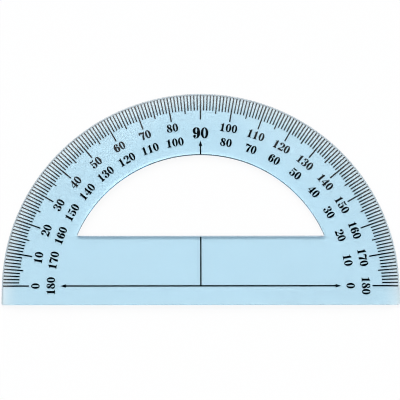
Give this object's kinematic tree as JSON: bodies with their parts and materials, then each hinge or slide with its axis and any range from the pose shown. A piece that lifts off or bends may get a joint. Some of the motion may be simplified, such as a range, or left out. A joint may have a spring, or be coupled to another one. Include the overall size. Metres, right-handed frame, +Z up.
{
  "type": "protractor",
  "caption": "Clear blue half-round protractor with a D-shaped window, bevelled graduated edge, two opposed degree scales and a marked baseline.",
  "frame": {"origin": "measuring point: the middle of the baseline, on the flat printed underside", "axes": "+X along the baseline to the outer scale's 180, +Y to the 90 mark, +Z up out of the reading side"},
  "size_m": [0.15, 0.0822, 0.002],
  "materials": {
    "clear_blue_plastic": "clear, polished, tinted light blue",
    "black_ink": "hot-stamped black foil"
  },
  "bodies": {
    "root": {"protractor_plate": "clear_blue_plastic", "one_degree_marks": "black_ink", "five_degree_marks": "black_ink", "ten_degree_marks": "black_ink", "outer_scale_numerals": "black_ink", "inner_scale_numerals": "black_ink", "ninety_numeral": "black_ink", "ninety_pointer": "black_ink", "baseline_arrow": "black_ink", "centre_line": "black_ink"}
  },
  "joints": []
}
